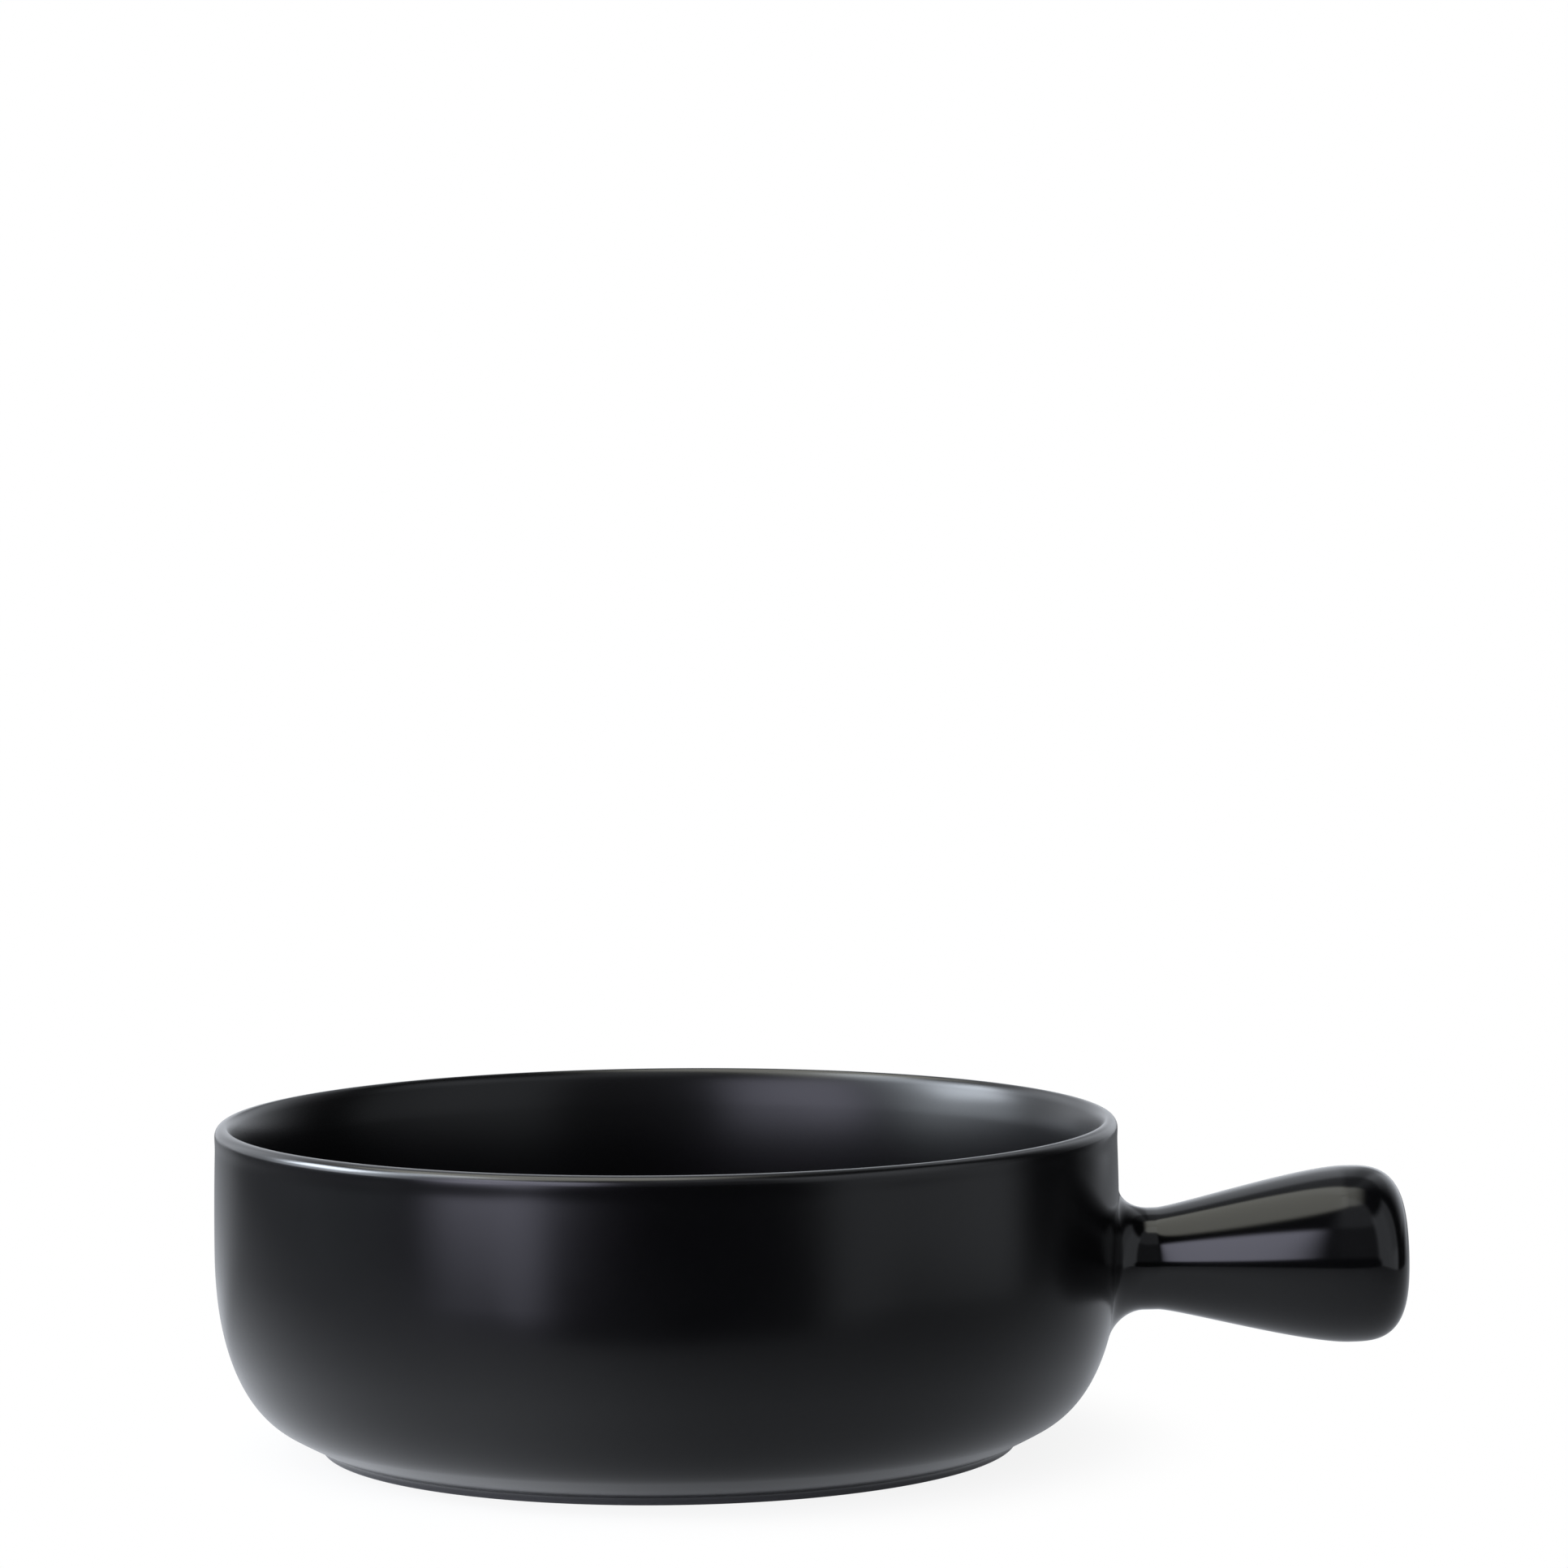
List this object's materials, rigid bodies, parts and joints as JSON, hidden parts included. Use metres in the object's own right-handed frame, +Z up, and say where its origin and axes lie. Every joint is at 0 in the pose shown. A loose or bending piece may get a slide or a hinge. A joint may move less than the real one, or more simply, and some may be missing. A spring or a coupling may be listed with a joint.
{
  "type": "handled baking bowl",
  "caption": "Round, straight-sided glazed baking bowl with a low foot ring and a short flared handle.",
  "frame": {"origin": "on the surface that the bowl stands on, under the middle of the whole length from the far side of the bowl to the handle's tip; the bowl's own axis is 25.467 mm from it towards -X", "axes": "+X along the handle, away from the bowl; +Z up"},
  "size_m": [0.211, 0.16, 0.0576],
  "materials": {
    "shell_glaze": "satin",
    "foot": "satin",
    "handle_glaze": "gloss"
  },
  "bodies": {
    "root": {"bowl_body": "shell_glaze", "foot_ring": "foot", "handle": "handle_glaze", "handle_slip_joint": "handle_glaze"}
  },
  "joints": []
}
